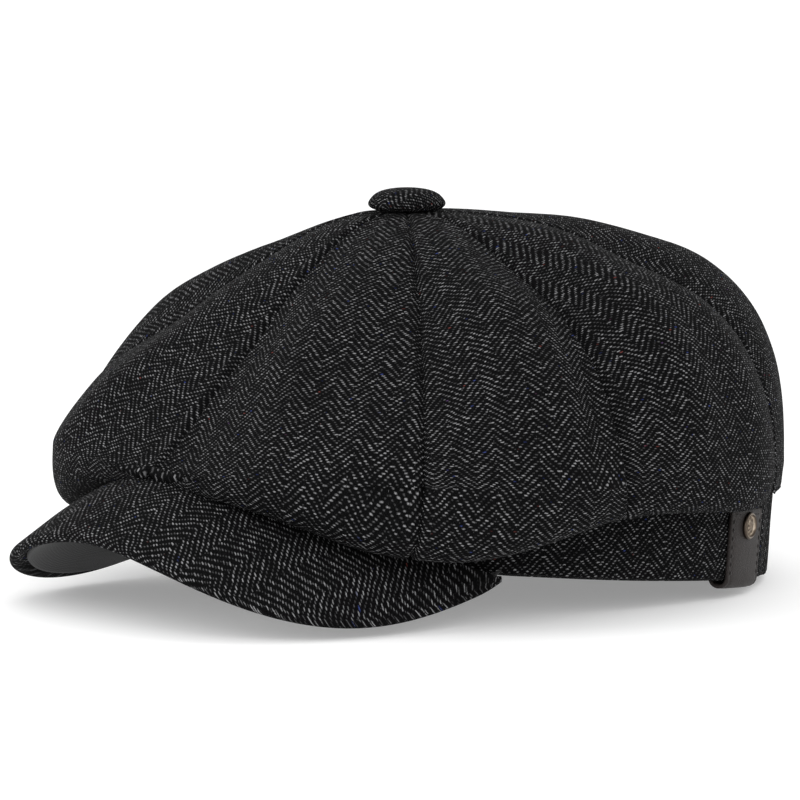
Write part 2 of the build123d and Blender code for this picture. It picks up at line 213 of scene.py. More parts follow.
class Nodes:
    """Short helpers that add shader nodes and links."""

    def __init__(self, name):
        self.material = bpy.data.materials.new(name)
        self.material.use_nodes = True
        self.tree = self.material.node_tree
        self.shader = self.tree.nodes["Principled BSDF"]

    def link(self, source, target):
        if isinstance(source, (int, float, tuple)):
            target.default_value = source
        else:
            self.tree.links.new(source, target)

    def math(self, operation, *values):
        node = self.tree.nodes.new("ShaderNodeMath")
        node.operation = operation
        for value, slot in zip(values, node.inputs):
            self.link(value, slot)
        return node.outputs[0]

    def wave(self, value):
        """A triangle wave of period 1: 0 at whole numbers, 1 half way between."""
        return self.math("MULTIPLY", self.math("PINGPONG", value, 0.5), 2.0)

    def step(self, value, low, high):
        node = self.tree.nodes.new("ShaderNodeMapRange")
        node.interpolation_type = "SMOOTHSTEP"
        self.link(value, node.inputs["Value"])
        self.link(low, node.inputs["From Min"])
        self.link(high, node.inputs["From Max"])
        return node.outputs["Result"]

    def remap(self, value, low, high):
        node = self.tree.nodes.new("ShaderNodeMapRange")
        self.link(value, node.inputs["Value"])
        node.inputs["To Min"].default_value = low
        node.inputs["To Max"].default_value = high
        return node.outputs["Result"]

    def noise(self, vector, scale, detail=3.0, roughness=0.5):
        node = self.tree.nodes.new("ShaderNodeTexNoise")
        self.link(vector, node.inputs["Vector"])
        node.inputs["Scale"].default_value = scale
        node.inputs["Detail"].default_value = detail
        node.inputs["Roughness"].default_value = roughness
        return node.outputs["Fac"]

    def scatter(self, vector):
        node = self.tree.nodes.new("ShaderNodeTexWhiteNoise")
        self.link(vector, node.inputs["Vector"])
        return node.outputs["Value"]

    def mix(self, share, first, second):
        node = self.tree.nodes.new("ShaderNodeMix")
        node.data_type = "RGBA"
        self.link(share, node.inputs["Factor"])
        self.link(first, node.inputs["A"])
        self.link(second, node.inputs["B"])
        return node.outputs["Result"]

    def combine(self, x, y, z=0.0):
        node = self.tree.nodes.new("ShaderNodeCombineXYZ")
        for value, slot in zip((x, y, z), node.inputs):
            self.link(value, slot)
        return node.outputs[0]

    def split(self, vector):
        node = self.tree.nodes.new("ShaderNodeSeparateXYZ")
        self.link(vector, node.inputs[0])
        return node.outputs[0], node.outputs[1], node.outputs[2]

    def cloth(self):
        """Cloth coordinates in millimetres."""
        node = self.tree.nodes.new("ShaderNodeAttribute")
        node.attribute_name = "weave"
        return node.outputs["Vector"]

    def place(self):
        """Object coordinates in millimetres."""
        node = self.tree.nodes.new("ShaderNodeTexCoord")
        scale = self.tree.nodes.new("ShaderNodeVectorMath")
        scale.operation = "SCALE"
        scale.inputs["Scale"].default_value = 1000.0
        self.link(node.outputs["Object"], scale.inputs[0])
        return scale.outputs[0]

    def bump(self, height, depth_mm, strength=1.0, under=None):
        node = self.tree.nodes.new("ShaderNodeBump")
        node.inputs["Distance"].default_value = depth_mm * MM
        node.inputs["Strength"].default_value = strength
        self.link(height, node.inputs["Height"])
        if under is not None:
            self.link(under, node.inputs["Normal"])
        return node.outputs[0]

    def finish(self, color, roughness, normal=None, **settings):
        self.link(color, self.shader.inputs["Base Color"])
        self.link(roughness, self.shader.inputs["Roughness"])
        if normal is not None:
            self.link(normal, self.shader.inputs["Normal"])
        for name, value in settings.items():
            self.link(value, self.shader.inputs[name.replace("_", " ")])
        return self.material


PICK = 0.68
FLOAT_REPEAT = 2.35
FLOAT_STEP = 0.72
GRAIN_SLANT = 0.10
GROUND_DARK, GROUND_LIGHT = (0.0006, 0.0006, 0.0007, 1), (0.0075, 0.0075, 0.008, 1)
FLOAT_COLOR = (0.23, 0.23, 0.235, 1)


def tweed_material(name, arm_width, brightness=1.0):
    """Herringbone wool: light weft floats in rows that slant one way, then the other, over near-black warp."""
    n = Nodes(name)
    place = n.place()
    wobble = n.math("SUBTRACT", n.noise(place, 0.25, 2.0), 0.5)
    jitter = n.math("SUBTRACT", n.noise(place, 1.5, 2.0), 0.5)
    across, down, _ = n.split(n.cloth())
    across = n.math("ADD", across, n.math("ADD", n.math("MULTIPLY", wobble, 1.8), n.math("MULTIPLY", jitter, 0.7)))
    down = n.math("SUBTRACT", down, n.math("MULTIPLY", across, GRAIN_SLANT))
    down = n.math("ADD", down, n.math("MULTIPLY", jitter, 0.5))
    arm = n.math("FLOOR", n.math("DIVIDE", across, arm_width))
    slant = n.math("PINGPONG", across, arm_width)
    pick = n.math("FLOOR", n.math("DIVIDE", down, PICK))
    run = n.math("DIVIDE", n.math("SUBTRACT", slant, n.math("MULTIPLY", pick, FLOAT_STEP)), FLOAT_REPEAT)
    cell = n.combine(n.math("ADD", n.math("FLOOR", run), n.math("MULTIPLY", arm, 17.0)), pick)
    chance = n.scatter(cell)
    length = n.step(n.wave(run), n.remap(chance, 0.62, 0.44), 0.95)
    thickness = n.step(n.wave(n.math("DIVIDE", down, PICK)), 0.15, 0.85)
    yarn = n.math("MULTIPLY", length, thickness)
    fuzz = n.noise(place, 2.6, 4.0, 0.7)
    light = n.math("MULTIPLY", yarn, n.remap(n.math("POWER", chance, 2.0), 0.16, 1.35))
    light = n.math("MULTIPLY", light, n.remap(fuzz, 0.0, 1.9))
    light = n.math("MULTIPLY", light, n.remap(n.noise(place, 0.045, 3.0), 0.65, 1.3))
    warp = n.wave(n.math("DIVIDE", across, 0.47))
    ground = n.math("MULTIPLY", n.remap(warp, 0.35, 1.0), n.step(fuzz, 0.35, 0.75))
    dark = n.mix(ground, GROUND_DARK, GROUND_LIGHT)
    fleck = n.scatter(n.combine(pick, n.math("FLOOR", run), arm))
    blue = n.mix(n.step(fleck, 0.988, 0.989), FLOAT_COLOR, (0.035, 0.05, 0.17, 1))
    pale = n.mix(n.step(fleck, 0.996, 0.997), blue, (0.13, 0.035, 0.03, 1))
    color = n.mix(n.math("MULTIPLY", light, brightness), dark, pale)
    height = n.math("ADD", n.math("MULTIPLY", yarn, 0.8), n.math("MULTIPLY", fuzz, 0.6))
    normal = n.bump(height, 0.30, 0.8)
    return n.finish(color, 0.92, normal, Specular_IOR_Level=0.05)


def plain_cloth_material(name, color, rib=0.9, sheen=0.1, shine=0.75):
    """Closely woven cloth with a faint rib."""
    n = Nodes(name)
    across, down, _ = n.split(n.cloth())
    place = n.place()
    ribs = n.wave(n.math("DIVIDE", across, rib))
    threads = n.wave(n.math("DIVIDE", down, rib * 0.6))
    fuzz = n.noise(place, 1.8, 4.0, 0.65)
    height = n.math("ADD", n.math("MULTIPLY", ribs, threads), fuzz)
    tone = n.math("MULTIPLY", n.remap(ribs, 0.6, 1.1), n.remap(fuzz, 0.5, 1.5))
    low = tuple(0.45 * c for c in color) + (1,)
    high = tuple(min(1.5 * c, 1.0) for c in color) + (1,)
    shade = n.mix(n.math("MULTIPLY", tone, 0.6), low, high)
    return n.finish(shade, shine, n.bump(height, 0.16, 0.6), Sheen_Weight=sheen)


def leather_material(name):
    """Dark brown grained leather, paler where it is rubbed."""
    n = Nodes(name)
    place = n.place()
    cells = n.tree.nodes.new("ShaderNodeTexVoronoi")
    cells.feature = "DISTANCE_TO_EDGE"
    cells.inputs["Scale"].default_value = 1.1
    n.link(place, cells.inputs["Vector"])
    grain = n.step(cells.outputs["Distance"], 0.0, 0.22)
    fine = n.noise(place, 3.0, 4.0, 0.6)
    cloud = n.noise(place, 0.16, 3.0)
    tone = n.math("ADD", n.math("MULTIPLY", grain, 0.35), n.math("MULTIPLY", cloud, 0.75))
    color = n.mix(tone, (0.007, 0.0055, 0.005, 1), (0.028, 0.0225, 0.021, 1))
    height = n.math("ADD", n.math("MULTIPLY", grain, 0.6), n.math("MULTIPLY", fine, 0.6))
    rough = n.remap(cloud, 0.42, 0.62)
    return n.finish(color, rough, n.bump(height, 0.10, 0.7), Specular_IOR_Level=0.18)


def antique_metal_material(name, low, high, metallic=1.0):
    """Worn metal: dark in its hollows, brighter on raised and rubbed parts."""
    n = Nodes(name)
    place = n.place()
    geometry = n.tree.nodes.new("ShaderNodeNewGeometry")
    worn = n.step(geometry.outputs["Pointiness"], 0.46, 0.56)
    speck = n.noise(place, 1.4, 4.0, 0.7)
    share = n.math("MULTIPLY", worn, n.remap(speck, 0.5, 1.3))
    color = n.mix(share, low, high)
    rough = n.remap(speck, 0.28, 0.5)
    return n.finish(color, rough, n.bump(speck, 0.05, 0.5), Metallic=metallic)


def sheet_material(name, color, roughness, grain):
    """Moulded or pressed sheet with a fine mottle."""
    n = Nodes(name)
    speck = n.noise(n.place(), grain, 4.0, 0.6)
    low = tuple(0.7 * c for c in color) + (1,)
    high = tuple(min(1.2 * c, 1.0) for c in color) + (1,)
    return n.finish(n.mix(speck, low, high), n.remap(speck, roughness - 0.1, roughness + 0.1),
                    n.bump(speck, 0.08, 0.4))


# The rim and the crown

def rim_arch(angle):
    inside = np.clip(np.abs(angle) / PEAK_END, 0, 1)
    return FRONT_ARCH * np.cos(np.pi / 2 * inside) ** 2


def rim_point(angle, inset, height):
    """A point of the band's wall. Angles past 180 carry on round the back."""
    turned = (np.asarray(angle, float) + 180) % 360 - 180
    return stack((RIM_WIDTH - inset) * sine(angle), -(RIM_LENGTH - inset) * cosine(angle),
                 height + rim_arch(turned))


def band_top(angle):
    """Height of the band's top edge above the rim: the band is shallower over the peak."""
    turned = (np.asarray(angle, float) + 180) % 360 - 180
    return BAND_HEIGHT - FRONT_CUT * rim_arch(turned) / FRONT_ARCH


def outward(angle):
    return unit(stack(sine(angle) / RIM_WIDTH, -cosine(angle) / RIM_LENGTH, 0.0))


def level(points):
    """The crown stands level on its leaning opening: points measured level, seen square to the opening."""
    x, y, z = points[..., 0], points[..., 1], points[..., 2]
    return stack(x, y * cosine(REST_TILT) - z * sine(REST_TILT), y * sine(REST_TILT) + z * cosine(REST_TILT))


def crown_dome(angle, along):
    """The smooth crown before its folds, from the top (0) to the widest outline (1)."""
    out = sine(90 * along)
    power = ROUND - ROUND_TO_REAR * cosine(angle) * np.sqrt(out)
    up = np.maximum(1 - out ** power, 0) ** (1 / power)
    reach = np.where(cosine(angle) > 0, CROWN_FRONT, CROWN_REAR)
    x, y = CROWN_WIDTH * sine(angle), CROWN_MIDDLE - reach * cosine(angle)
    low = WIDEST + WIDEST_TO_FRONT * cosine(angle)
    return level(stack(out * x, (1 - out) * TOP_Y + out * y, low + (CROWN_TOP - low) * up))


def lip_height(angle):
    """How low the crown hangs: lowest beside the peak, on the peak in front, above the band at the back."""
    angle = np.abs(angle)
    return 22.0 - 19.0 * bell(angle - 52, 30) - 4.5 * bell(angle, 22) + 5.5 * ease(angle, 118, 150)


def crown_roll(angle, along):
    """The crown from its widest outline (0) down round its lip and back to the band's top (1)."""
    start = crown_dome(angle, np.ones_like(along))
    foot_angle = angle - FOOT_TURN * sine(angle)
    foot = rim_point(foot_angle, -0.6, band_top(foot_angle) + 0.6)
    turn = np.pi * along
    falling = along <= 0.5
    lip = np.minimum(lip_height(angle), start[..., 2] - 6)
    drop = np.where(falling, start[..., 2] - (start[..., 2] - lip) * np.sin(turn),
                    lip + (foot[..., 2] - lip) * (1 - np.sin(turn)))
    share = ((1 - np.cos(turn)) / 2) ** 1.4
    flat = start[..., :2] + (foot - start)[..., :2] * share[..., None]
    return np.concatenate([flat, drop[..., None]], -1)


# Each fold: angle at its top and foot, how far down it starts and ends, half width and height in mm
FOLDS = (
    (90, 88, 0.10, 0.98, 11.0, -3.4),
    (86, 84, 0.55, 0.92, 6.0, -2.6),
    (100, 103, 0.30, 0.98, 10.0, 2.4),
    (70, 74, 0.25, 0.85, 12.0, 1.8),
    (3, 6, 0.22, 0.85, 10.0, -1.2),
    (-22, -30, 0.30, 0.95, 10.0, 1.9),
    (20, 26, 0.30, 0.90, 9.0, 1.2),
    (112, 118, 0.40, 1.0, 11.0, 1.8),
    (133, 131, 0.20, 0.95, 9.0, -1.8),
    (-90, -92, 0.12, 0.95, 9.0, -2.8),
    (-70, -78, 0.35, 0.9, 11.0, 1.5),
    (-112, -106, 0.40, 1.0, 12.0, 1.6),
    (-133, -136, 0.25, 0.95, 10.0, -2.0),
    (140, 140, 0.25, 1.0, 42.0, -2.4),
    (-42, -42, 0.45, 1.45, 42.0, 3.2),
    (-62, -52, 0.05, 0.55, 50.0, -2.6),
    (158, 152, 0.35, 1.05, 11.0, 1.4),
    (-160, -156, 0.40, 1.0, 12.0, -1.2),
)
PUFF = 4.6


def crown_folds(angle, across, down, radius):
    """How far the cloth stands off its smooth shape: puffed panels, sunk seams, folds and a slight unevenness."""
    body = ease(down, 0.06, 0.45) * (1 - 0.55 * ease(down, 1.0, 1.5))
    height = PUFF * body * (np.sin(np.pi * across) - 0.8)
    for top, foot, first, last, width, depth in FOLDS:
        middle = top + (foot - top) * down
        off = ((angle - middle + 180) % 360 - 180) * np.pi / 180 * radius
        window = ease(down, first, first + 0.25) * (1 - ease(down, last - 0.2, last + 0.1))
        height = height + depth * bell(off, width) * window
    for _ in range(14):
        waves = random.integers(2, 11)
        rise = random.uniform(1.5, 7.0)
        phase = random.uniform(0, 2 * np.pi)
        height = height + 0.16 * np.sin(np.radians(angle) * waves + rise * down + phase) * body
    return height


def seam_ditch(across, seam_length):
    """The sunk stitched seam at a panel's edges, across running from 0 to 1."""
    off = np.minimum(across, 1 - across) * seam_length
    return -1.1 * bell(off, 1.0) + 0.35 * bell(off - 2.6, 1.3)


COLUMNS, DOME_ROWS, ROLL_ROWS = 56, 96, 44
ROW_SKIP, COLUMN_SKIP = 3, 4
SETTLE_FRAMES, SETTLE_LIMIT, CLOTH_FULLNESS = 30, 5.0, 0.015
TOP_START = 0.02


def crown_grid():
    """The whole crown as one grid, columns crowded towards the seams, its puffs, folds and sunk seams set by the
    share across each panel.
    """
    even = np.arange(COLUMNS) / COLUMNS
    crowded = even - 0.8 * np.sin(2 * np.pi * even) / (2 * np.pi)
    angles = np.concatenate([a + (b - a) * crowded for a, b in zip(SEAMS, SEAMS[1:])])
    across = np.tile(crowded, len(PANELS))
    spans = np.repeat([b - a for a, b in zip(SEAMS, SEAMS[1:])], COLUMNS)
    dome = np.linspace(TOP_START, 1, DOME_ROWS)
    roll = np.linspace(0, 1, ROLL_ROWS)[1:]
    angle_d, along_d = np.meshgrid(angles, dome)
    angle_r, along_r = np.meshgrid(angles, roll)
    base = np.concatenate([crown_dome(angle_d, along_d), crown_roll(angle_r, along_r)])
    down = np.concatenate([dome, 1 + roll])[:, None]
    normals = grid_normals(base, wrap=True)
    normals *= np.sign(normals[DOME_ROWS // 2, :, 2])[None, :, None]
    radius = CROWN_WIDTH * np.concatenate([sine(90 * dome), np.ones(len(roll))])[:, None]
    fade = 1 - ease(down, 1.55, 1.95)
    height = crown_folds(angles[None, :], across[None, :], down, radius) * fade
    ditch = seam_ditch(across[None, :], radius * np.radians(spans)[None, :])
    height = height + ditch * ease(down, 0.02, 0.1) * fade
    return base + normals * height[..., None]


def follow(obj):
    """Cloth left where it is drawn, its placement baked into its mesh."""
    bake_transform(obj)


def follow_rear(obj):
    """Cloth at the back, left where it is drawn by follow."""
    follow(obj)


def follow_peak(obj):
    """Cloth at the front and on the peak, left where it is drawn by follow."""
    follow(obj)


def settle(grid):
    """How far the crown's cloth moves as it settles between its seams, by a short cloth simulation.

    The cloth is cut a little full, so it buckles into soft folds. It is held at the button, the seams
    and the band.
    """
    coarse = grid[::ROW_SKIP, ::COLUMN_SKIP]
    rows, columns = coarse.shape[:2]
    points = to_world(coarse.reshape(-1, 3))
    mesh = bpy.data.meshes.new("settling")
    mesh.from_pydata(points.tolist(), [], grid_faces(rows, columns, wrap=True).tolist())
    cloth = bpy.data.objects.new("settling", mesh)
    bpy.context.scene.collection.objects.link(cloth)
    held = cloth.vertex_groups.new(name="held")
    every = COLUMNS // COLUMN_SKIP
    for index in range(rows * columns):
        row, column = divmod(index, columns)
        if row < 2 or row > rows - 7 or column % every == 0:
            held.add([index], 1.0, "REPLACE")
    modifier = cloth.modifiers.new("settle", "CLOTH")
    modifier.settings.vertex_group_mass = "held"
    modifier.settings.quality = 6
    modifier.settings.mass = 0.25
    modifier.settings.tension_stiffness = 25
    modifier.settings.compression_stiffness = 25
    modifier.settings.shear_stiffness = 12
    modifier.settings.bending_stiffness = 1.2
    modifier.settings.shrink_min = -CLOTH_FULLNESS
    modifier.settings.effector_weights.gravity = 0.05
    modifier.settings.air_damping = 3
    modifier.collision_settings.use_collision = False
    modifier.point_cache.frame_start = 1
    modifier.point_cache.frame_end = SETTLE_FRAMES
    scene = bpy.context.scene
    for frame_number in range(1, SETTLE_FRAMES + 1):
        scene.frame_set(frame_number)
    seen = cloth.evaluated_get(bpy.context.evaluated_depsgraph_get())
    settled = np.array([v.co for v in seen.data.vertices])
    moved = (settled - points) @ CAP_AXES.T / MM
    scene.frame_set(1)
    bpy.data.objects.remove(cloth)
    size = np.linalg.norm(moved, axis=1, keepdims=True)
    moved *= SETTLE_LIMIT / np.maximum(size + SETTLE_LIMIT, 1e-6)
    moved = moved.reshape(rows, columns, 3)
    for _ in range(3):
        moved = (np.roll(moved, 1, 1) + 2 * moved + np.roll(moved, -1, 1)) / 4
        moved[1:-1] = (moved[:-2] + 2 * moved[1:-1] + moved[2:]) / 4
    start = ease(np.arange(rows), 4, 14) * (1 - ease(np.arange(rows), rows - 10, rows - 5))
    return moved * start[:, None, None]


def spread_back(moved, grid):
    """The coarse cloth's moves on the fine grid, smoothly in between."""
    rows, columns = grid.shape[:2]
    row = np.minimum(np.arange(rows) / ROW_SKIP, len(moved) - 1.001)
    column = np.arange(columns) / COLUMN_SKIP
    i, j = row.astype(int), column.astype(int)
    u, v = row - i, column - j
    u = (u * u * (3 - 2 * u))[:, None, None]
    v = (v * v * (3 - 2 * v))[None, :, None]
    k = (j + 1) % moved.shape[1]
    upper = moved[i][:, j] * (1 - v) + moved[i][:, k] * v
    lower = moved[i + 1][:, j] * (1 - v) + moved[i + 1][:, k] * v
    return grid + upper * (1 - u) + lower * u


def make_crown(tweed):
    grid = crown_grid()
    grid = spread_back(settle(grid), grid)
    grid = np.concatenate([grid, grid[:, :1]], 1)
    along = (np.arange(len(grid)) - DOME_ROWS) / ROLL_ROWS
    thickness = (TWEED * (1 - 0.85 * ease(along, 0.15, 0.45)))[:, None, None]
    for index, name in enumerate(PANELS):
        panel = grid[:, index * COLUMNS:(index + 1) * COLUMNS + 1]
        obj = shell_object("crown_" + name + "_cloth", panel, thickness, tweed)
        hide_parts("crown_" + name)
        if "rear" in name:
            follow_rear(obj)
        else:
            follow_peak(obj)


# Band, sweatband, elastic and lining

def rounded_strip(low, high, inset, thickness, steps=10):
    """A closed strip section as insets and heights, its top and bottom edges rounded."""
    turn = np.linspace(0, np.pi, 6)
    half = thickness / 2
    rise = np.linspace(low + half, high - half, steps)
    outer = stack(inset, rise, 0)
    top = stack(inset + half - half * np.cos(turn), high - half + half * np.sin(turn), 0)[1:-1]
    inner = stack(inset + thickness, rise[::-1], 0)
    bottom = stack(inset + half + half * np.cos(turn), low + half - half * np.sin(turn), 0)[1:-1]
    return np.concatenate([outer, top, inner, bottom])[:, :2]


def rim_strip(name, first, last, section, material, steps, ripple=None):
    """A strip of the band's wall with the section given. ripple moves its points in or out."""
    angles = np.linspace(first, last, steps)
    inset, height = section[:, 0], section[:, 1]
    insets = np.broadcast_to(inset[None, :], (steps, len(inset))).copy()
    if ripple is not None:
        insets += ripple(angles[:, None], height[None, :])
    heights = height[None, :] * band_top(angles[:, None]) / BAND_HEIGHT
    loops = rim_point(angles[:, None], insets, heights)
    length = np.linalg.norm(np.diff(loops[:, 0], axis=0), axis=1)
    across = np.concatenate([[0], np.cumsum(length)])
    round_section = np.linalg.norm(np.diff(section, axis=0), axis=1)
    down = np.concatenate([[0], np.cumsum(round_section)])
    weave = stack(across[:, None], down[None, :], 0.0)[..., :2]
    return tube_object(name, loops, material, weave)


def make_band(tweed, sweat, elastic, buckram):
    front_end = TAB_ANGLE + 4
    rear = (front_end + 0.4, 360 - front_end - 0.4)
    front = rim_strip("band_front_cloth", -front_end, front_end, rounded_strip(-0.2, 25, 0, 1.5, 14),
                      tweed, 260, lambda a, h: 0.25 * np.sin(a * 0.21 + h * 0.11))
    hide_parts("band_front")
    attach(front, "crown_and_band")

    def gathers(angle, height):
        centre = bell((angle - 180), 52)
        return -0.55 * centre * np.sin(np.radians(angle) * 46 + 0.5 * np.sin(height * 0.3)) + 0.25 * centre

    band = rim_strip("band_rear_cloth", *rear, rounded_strip(-0.2, 25, 0, 1.5, 14), tweed, 420, gathers)
    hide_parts("band_rear")
    sweat_inset = 3.0

    def ribs(angle, height):
        return 0.10 * np.sin(np.radians(angle) * 440)

    inner = rim_strip("sweatband_front_ribbed", -front_end, front_end,
                      rounded_strip(0.3, 25, sweat_inset, SWEATBAND, 8), sweat, 2200, ribs)
    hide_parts("sweatband_front")
    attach(inner, "crown_and_band")
    back = rim_strip("sweatband_rear_ribbed", *rear, rounded_strip(0.3, 25, sweat_inset, SWEATBAND, 8),
                     sweat, 1100, ribs)
    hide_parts("sweatband_rear")
    stiff = rim_strip("band_stiffener_buckram", 8 - TAB_ANGLE, TAB_ANGLE - 8,
                      rounded_strip(1.5, 23.5, 1.75, 0.8, 8), buckram, 220)
    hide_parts("band_stiffener")
    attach(stiff, "crown_and_band")
    strip = rim_strip("elastic_strip_woven", rear[0] + 6, rear[1] - 6, rounded_strip(4, 21, 1.95, 0.8, 8),
                      elastic, 300, lambda a, h: 0.06 * np.sin(h * 4.5))
    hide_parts("elastic_strip")
    for obj in (band, back, strip):
        start = to_world(rim_point(front_end, 0, 0))
        end = to_world(rim_point(front_end, 0, 0) + [0, 14, 0])
        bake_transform(obj)


LINING_GORES = (("rear_right", -180), ("front_right", -90), ("front_left", 0), ("rear_left", 90))


def make_lining(material):
    """A satin dome inside the crown, loose enough to hang in soft folds."""
    for name, first in LINING_GORES:
        angle, along = np.meshgrid(np.linspace(first, first + 90, 61), np.linspace(0.03, 1, 70))
        foot = rim_point(angle, 8.6, band_top(angle) + 0.6)
        out = sine(90 * along)
        power = ROUND - ROUND_TO_REAR * cosine(angle) * np.sqrt(out)
        up = np.maximum(1 - out ** power, 0) ** (1 / power)
        top = level(np.array([0, TOP_Y, CROWN_TOP - 7.5]))
        grid = stack(out * foot[..., 0], (1 - out) * top[1] + out * foot[..., 1],
                     foot[..., 2] + (top[2] - foot[..., 2]) * up)
        share = (angle - first) / 90
        slack = np.sin(np.pi * share) * np.sin(np.pi * along)
        folds = np.sin(share * 21 + 2.2 * np.sin(along * 5 + first)) * 0.7 + 0.5 * np.sin(share * 9 + along * 6)
        ditch = bell(np.minimum(share, 1 - share) * 130 * out, 1.2) * 0.8
        normals = grid_normals(grid)
        normals *= np.sign(normals[35, 30, 2])
        clear = 3.0 * ease(1 - along, 0, 0.06)
        grid = grid - normals * (clear + slack * (0.9 + folds) + ditch)[..., None]
        obj = shell_object("lining_" + name + "_satin", grid, 0.5, material)
        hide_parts("lining_" + name)
        if "rear" in name:
            follow_rear(obj)
        else:
            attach(obj, "crown_and_band")


# Peak

def peak_surface(angle, across):
    """The peak's middle surface, from the rim (across 0) to the outer edge (across 1)."""
    rim = rim_point(angle * PEAK_END / 90, -2.2, 0)
    grow = np.abs(sine(angle) / PEAK_WIDTH) ** PEAK_SQUARE + np.abs(cosine(angle) / PEAK_REACH) ** PEAK_SQUARE
    radius = grow ** (-1 / PEAK_SQUARE)
    end_y = -RIM_LENGTH * cosine(PEAK_END)
    x, y = radius * sine(angle), end_y - radius * cosine(angle)
    bend = np.sqrt(PEAK_BEND ** 2 - x ** 2) - np.sqrt(PEAK_BEND ** 2 - PEAK_WIDTH ** 2)
    edge = stack(x, y, bend + PEAK_PITCH * (y - end_y) + PEAK_EDGE_LIFT * cosine(angle))
    t = np.broadcast_to(across, np.broadcast_shapes(np.shape(angle), np.shape(across)))
    lift = PEAK_CROWNING * 4 * t * (1 - t) * cosine(angle) ** 2
    middle = rim + (edge - rim) * t[..., None]
    middle[..., 2] += lift
    return middle


def make_peak(tweed, under, board):
    room = 87.0
    half = 1.7 + 0.55 * ease(1 - np.linspace(0, 1, 60), 0.05, 0.35)[:, None, None]
    angles = np.linspace(-room, room, 181)[None, :]
    rows = np.linspace(0, 1, 60)[:, None]
    middle = peak_surface(*np.broadcast_arrays(angles, rows))
    normals = grid_normals(middle)
    normals *= np.sign(normals[30, 90, 2])
    edge, edge_up = middle[-1], normals[-1]
    edge_out = unit(middle[-1] - middle[-3])
    fade = ease(90 - np.abs(angles[0]), 0, 9)[:, None]
    swell = half * (0.45 + 0.55 * fade[None])
    full = swell[-1]
    top = middle + normals * swell
    turn = np.radians(np.linspace(0, 180, 15))[1:, None, None]
    wrap = edge + edge_up * np.cos(turn) * full + edge_out * np.sin(turn) * (full + 0.4)
    back = (middle - normals * swell)[-2:-7:-1]
    grid = np.concatenate([top, wrap, back])
    weave = cloth_coordinates(grid)
    weave[..., 0] = grid[..., 0] * 1.06
    past_edge = np.maximum(weave[..., 1] - weave[59, 0, 1], 0)
    weave[..., 1] = -np.where(np.arange(len(grid))[:, None] < 60, grid[..., 1], grid[59, :, 1]) + past_edge
    cover = shell_object("peak_top_cloth", grid, 1.1, tweed, weave, outside=np.array([0, -110, -60.0]))
    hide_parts("peak_top_cover")
    lower = middle[:57] - normals[:57] * (swell[:57] + 0.02)
    lining = shell_object("peak_under_cloth", lower[:, ::-1], 1.0, under, outside=np.array([0, -90, 80.0]))
    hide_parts("peak_under_cover")
    core = (middle + normals * 0.8)[3:57, 6:-6]
    sheet = shell_object("peak_board_sheet", core, 1.6, board, outside=np.array([0, -110, -60.0]))
    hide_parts("peak_board")
    for obj in (cover, lining, sheet):
        follow_peak(obj)


# Leather tabs, their stitches and the rivets

def band_speed(angle):
    """Millimetres round the band for each degree."""
    return np.radians(np.hypot(RIM_WIDTH * cosine(angle), RIM_LENGTH * sine(angle)))


def tab_section():
    """Insets and heights of the folded strip: its outer face down, round under the rim and up inside."""
    depth = 4.3
    turn = np.linspace(0, np.pi, 13)[1:-1]
    radius = depth / 2
    outer = stack(-0.35, np.linspace(TAB_HEIGHT, 0.4, 18), 0)
    under = stack(radius - 0.35 - radius * np.cos(turn), 0.2 - radius * 0.85 * np.sin(turn), 0)
    inner = stack(depth - 0.35, np.linspace(0.4, TAB_TURN_UP, 8), 0)
    return np.concatenate([outer, under, inner])[:, :2]


def section_normals(section):
    tangent = unit(np.gradient(section, axis=0))
    return np.stack([-tangent[:, 1], tangent[:, 0]], -1)


def make_tab(side, name, leather):
    section = tab_section()
    normal = section_normals(section)
    if normal[0, 0] > 0:
        normal = -normal
    half_turn = TAB_WIDTH / 2 / band_speed(TAB_ANGLE)
    share = np.concatenate([[-1, -0.985, -0.955], np.linspace(-0.92, 0.92, 33), [0.955, 0.985, 1]])
    bevel = np.interp(np.abs(share), [0.95, 0.985, 1.0], [0, 0.28, 0.75])
    loops = []
    for s, cut in zip(share, bevel):
        ridge = 0.25 * bell((1 - abs(s)) * TAB_WIDTH / 2 - 1.5, 0.7)
        face = section + normal * (LEATHER - 0.5 * cut - ridge * 0.9)
        inner = section + normal * 0.5 * cut
        loop = np.concatenate([face, inner[::-1]])
        angle = side * (TAB_ANGLE + s * half_turn)
        loops.append(rim_point(angle, loop[:, 0], loop[:, 1]))
    loops = np.array(loops)
    weave = stack(share[:, None] * TAB_WIDTH / 2, np.arange(loops.shape[1])[None, :], 0.0)[..., :2]
    obj = tube_object(name + "_leather", loops, leather, weave)
    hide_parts(name)
    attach(obj, "crown_and_band")


def stitches(name, places, material, half_width=0.34):
    """Short plump threads, each between two points with the way out of the cloth, as one mesh."""
    points, faces = [], []
    around = np.linspace(0, 2 * np.pi, 7)[:-1]
    swell = np.array([0.35, 0.85, 1.0, 0.85, 0.35])
    sink = np.array([-0.35, 0.02, 0.16, 0.02, -0.35])
    for start, end, out in places:
        along = unit(end - start)
        side = np.cross(along, out)
        base = len(points)
        for i, t in enumerate(np.linspace(0, 1, 5)):
            centre = start + (end - start) * t + out * sink[i]
            for a in around:
                points.append(centre + (side * np.cos(a) + out * np.sin(a)) * half_width * swell[i])
        for i in range(4):
            for j in range(6):
                k = (j + 1) % 6
                faces.append([base + 6 * i + j, base + 6 * i + k, base + 6 * i + 6 + k, base + 6 * i + 6 + j])
        faces.append([base + j for j in range(5, -1, -1)])
        faces.append([base + 24 + j for j in range(6)])
    return make_object(name, np.array(points), faces, material)


